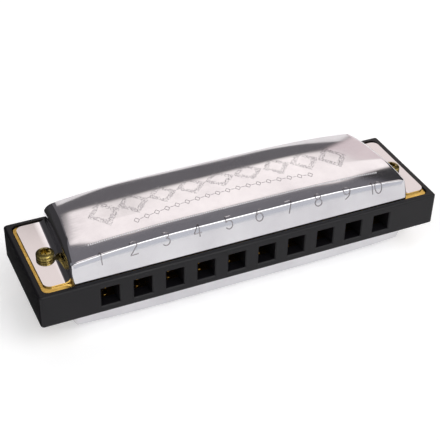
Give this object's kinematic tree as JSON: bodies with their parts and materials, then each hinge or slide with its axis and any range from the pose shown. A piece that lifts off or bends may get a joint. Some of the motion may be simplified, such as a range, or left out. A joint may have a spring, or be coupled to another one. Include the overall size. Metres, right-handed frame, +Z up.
{
  "type": "harmonica",
  "caption": "Small free-reed mouth organ: a black moulded comb with recessed brass reed plates, between two polished pressed-steel covers that are open at the back.",
  "frame": {"origin": "under the middle of the comb, on the surface that the lower cover's flat bottom rests on", "axes": "+X along the holes from the low notes to the high notes, +Y from the mouth holes to the open back, +Z up through both covers"},
  "size_m": [0.098, 0.0278, 0.0222],
  "materials": {
    "black_abs": "moulded, satin",
    "plate_brass": "rolled, lightly brushed",
    "reed_brass": "milled and filed",
    "rivet_brass": "formed",
    "polished_steel": "mirror-polished stainless sheet",
    "aged_brass": "turned, tarnished"
  },
  "bodies": {
    "harp": {"comb": "black_abs", "blow_reed_plate": "plate_brass", "draw_reed_plate": "plate_brass", "upper_cover": "polished_steel", "lower_cover": "polished_steel", "cover_screw_left": "aged_brass", "cover_screw_right": "aged_brass", "cover_nut_left": "aged_brass", "cover_nut_right": "aged_brass", "plate_screw_1": "aged_brass", "plate_screw_2": "aged_brass", "plate_screw_3": "aged_brass", "plate_screw_4": "aged_brass", "plate_screw_5": "aged_brass", "blow_rivet_01": "rivet_brass", "draw_rivet_01": "rivet_brass", "blow_rivet_02": "rivet_brass", "draw_rivet_02": "rivet_brass", "blow_rivet_03": "rivet_brass", "draw_rivet_03": "rivet_brass", "blow_rivet_04": "rivet_brass", "draw_rivet_04": "rivet_brass", "blow_rivet_05": "rivet_brass", "draw_rivet_05": "rivet_brass", "blow_rivet_06": "rivet_brass", "draw_rivet_06": "rivet_brass", "blow_rivet_07": "rivet_brass", "draw_rivet_07": "rivet_brass", "blow_rivet_08": "rivet_brass", "draw_rivet_08": "rivet_brass", "blow_rivet_09": "rivet_brass", "draw_rivet_09": "rivet_brass", "blow_rivet_10": "rivet_brass", "draw_rivet_10": "rivet_brass"},
    "blow_reed_01": {"blow_reed_01": "reed_brass"},
    "blow_reed_02": {"blow_reed_02": "reed_brass"},
    "blow_reed_03": {"blow_reed_03": "reed_brass"},
    "blow_reed_04": {"blow_reed_04": "reed_brass"},
    "blow_reed_05": {"blow_reed_05": "reed_brass"},
    "blow_reed_06": {"blow_reed_06": "reed_brass"},
    "blow_reed_07": {"blow_reed_07": "reed_brass"},
    "blow_reed_08": {"blow_reed_08": "reed_brass"},
    "blow_reed_09": {"blow_reed_09": "reed_brass"},
    "blow_reed_10": {"blow_reed_10": "reed_brass"},
    "draw_reed_01": {"draw_reed_01": "reed_brass"},
    "draw_reed_02": {"draw_reed_02": "reed_brass"},
    "draw_reed_03": {"draw_reed_03": "reed_brass"},
    "draw_reed_04": {"draw_reed_04": "reed_brass"},
    "draw_reed_05": {"draw_reed_05": "reed_brass"},
    "draw_reed_06": {"draw_reed_06": "reed_brass"},
    "draw_reed_07": {"draw_reed_07": "reed_brass"},
    "draw_reed_08": {"draw_reed_08": "reed_brass"},
    "draw_reed_09": {"draw_reed_09": "reed_brass"},
    "draw_reed_10": {"draw_reed_10": "reed_brass"}
  },
  "joints": [
    {"name": "blow_reed_01_swing", "type": "hinge", "parent": "harp", "child": "blow_reed_01", "pos_m": [-0.03335, -0.008, 0.01379], "axis": [1, 0, 0], "range_deg": [-2.95, 2.95], "stiffness_Nm_per_rad": 0.01, "deforming": ["blow_reed_01"]},
    {"name": "blow_reed_02_swing", "type": "hinge", "parent": "harp", "child": "blow_reed_02", "pos_m": [-0.02585, -0.008, 0.01379], "axis": [1, 0, 0], "range_deg": [-3.11, 3.11], "stiffness_Nm_per_rad": 0.01, "deforming": ["blow_reed_02"]},
    {"name": "blow_reed_03_swing", "type": "hinge", "parent": "harp", "child": "blow_reed_03", "pos_m": [-0.01835, -0.008, 0.01379], "axis": [1, 0, 0], "range_deg": [-3.28, 3.28], "stiffness_Nm_per_rad": 0.01, "deforming": ["blow_reed_03"]},
    {"name": "blow_reed_04_swing", "type": "hinge", "parent": "harp", "child": "blow_reed_04", "pos_m": [-0.01085, -0.008, 0.01379], "axis": [1, 0, 0], "range_deg": [-3.48, 3.48], "stiffness_Nm_per_rad": 0.01, "deforming": ["blow_reed_04"]},
    {"name": "blow_reed_05_swing", "type": "hinge", "parent": "harp", "child": "blow_reed_05", "pos_m": [-0.00335, -0.008, 0.01379], "axis": [1, 0, 0], "range_deg": [-3.69, 3.69], "stiffness_Nm_per_rad": 0.01, "deforming": ["blow_reed_05"]},
    {"name": "blow_reed_06_swing", "type": "hinge", "parent": "harp", "child": "blow_reed_06", "pos_m": [0.00415, -0.008, 0.01379], "axis": [1, 0, 0], "range_deg": [-3.94, 3.94], "stiffness_Nm_per_rad": 0.01, "deforming": ["blow_reed_06"]},
    {"name": "blow_reed_07_swing", "type": "hinge", "parent": "harp", "child": "blow_reed_07", "pos_m": [0.01165, -0.008, 0.01379], "axis": [1, 0, 0], "range_deg": [-4.22, 4.22], "stiffness_Nm_per_rad": 0.01, "deforming": ["blow_reed_07"]},
    {"name": "blow_reed_08_swing", "type": "hinge", "parent": "harp", "child": "blow_reed_08", "pos_m": [0.01915, -0.008, 0.01379], "axis": [1, 0, 0], "range_deg": [-4.55, 4.55], "stiffness_Nm_per_rad": 0.01, "deforming": ["blow_reed_08"]},
    {"name": "blow_reed_09_swing", "type": "hinge", "parent": "harp", "child": "blow_reed_09", "pos_m": [0.02665, -0.008, 0.01379], "axis": [1, 0, 0], "range_deg": [-4.93, 4.93], "stiffness_Nm_per_rad": 0.01, "deforming": ["blow_reed_09"]},
    {"name": "blow_reed_10_swing", "type": "hinge", "parent": "harp", "child": "blow_reed_10", "pos_m": [0.03415, -0.008, 0.01379], "axis": [1, 0, 0], "range_deg": [-5.38, 5.38], "stiffness_Nm_per_rad": 0.01, "deforming": ["blow_reed_10"]},
    {"name": "draw_reed_01_swing", "type": "hinge", "parent": "harp", "child": "draw_reed_01", "pos_m": [-0.03335, -0.008, 0.00719], "axis": [1, 0, 0], "range_deg": [-2.95, 2.95], "stiffness_Nm_per_rad": 0.01, "deforming": ["draw_reed_01"]},
    {"name": "draw_reed_02_swing", "type": "hinge", "parent": "harp", "child": "draw_reed_02", "pos_m": [-0.02585, -0.008, 0.00719], "axis": [1, 0, 0], "range_deg": [-3.11, 3.11], "stiffness_Nm_per_rad": 0.01, "deforming": ["draw_reed_02"]},
    {"name": "draw_reed_03_swing", "type": "hinge", "parent": "harp", "child": "draw_reed_03", "pos_m": [-0.01835, -0.008, 0.00719], "axis": [1, 0, 0], "range_deg": [-3.28, 3.28], "stiffness_Nm_per_rad": 0.01, "deforming": ["draw_reed_03"]},
    {"name": "draw_reed_04_swing", "type": "hinge", "parent": "harp", "child": "draw_reed_04", "pos_m": [-0.01085, -0.008, 0.00719], "axis": [1, 0, 0], "range_deg": [-3.48, 3.48], "stiffness_Nm_per_rad": 0.01, "deforming": ["draw_reed_04"]},
    {"name": "draw_reed_05_swing", "type": "hinge", "parent": "harp", "child": "draw_reed_05", "pos_m": [-0.00335, -0.008, 0.00719], "axis": [1, 0, 0], "range_deg": [-3.69, 3.69], "stiffness_Nm_per_rad": 0.01, "deforming": ["draw_reed_05"]},
    {"name": "draw_reed_06_swing", "type": "hinge", "parent": "harp", "child": "draw_reed_06", "pos_m": [0.00415, -0.008, 0.00719], "axis": [1, 0, 0], "range_deg": [-3.94, 3.94], "stiffness_Nm_per_rad": 0.01, "deforming": ["draw_reed_06"]},
    {"name": "draw_reed_07_swing", "type": "hinge", "parent": "harp", "child": "draw_reed_07", "pos_m": [0.01165, -0.008, 0.00719], "axis": [1, 0, 0], "range_deg": [-4.22, 4.22], "stiffness_Nm_per_rad": 0.01, "deforming": ["draw_reed_07"]},
    {"name": "draw_reed_08_swing", "type": "hinge", "parent": "harp", "child": "draw_reed_08", "pos_m": [0.01915, -0.008, 0.00719], "axis": [1, 0, 0], "range_deg": [-4.55, 4.55], "stiffness_Nm_per_rad": 0.01, "deforming": ["draw_reed_08"]},
    {"name": "draw_reed_09_swing", "type": "hinge", "parent": "harp", "child": "draw_reed_09", "pos_m": [0.02665, -0.008, 0.00719], "axis": [1, 0, 0], "range_deg": [-4.93, 4.93], "stiffness_Nm_per_rad": 0.01, "deforming": ["draw_reed_09"]},
    {"name": "draw_reed_10_swing", "type": "hinge", "parent": "harp", "child": "draw_reed_10", "pos_m": [0.03415, -0.008, 0.00719], "axis": [1, 0, 0], "range_deg": [-5.38, 5.38], "stiffness_Nm_per_rad": 0.01, "deforming": ["draw_reed_10"]}
  ]
}
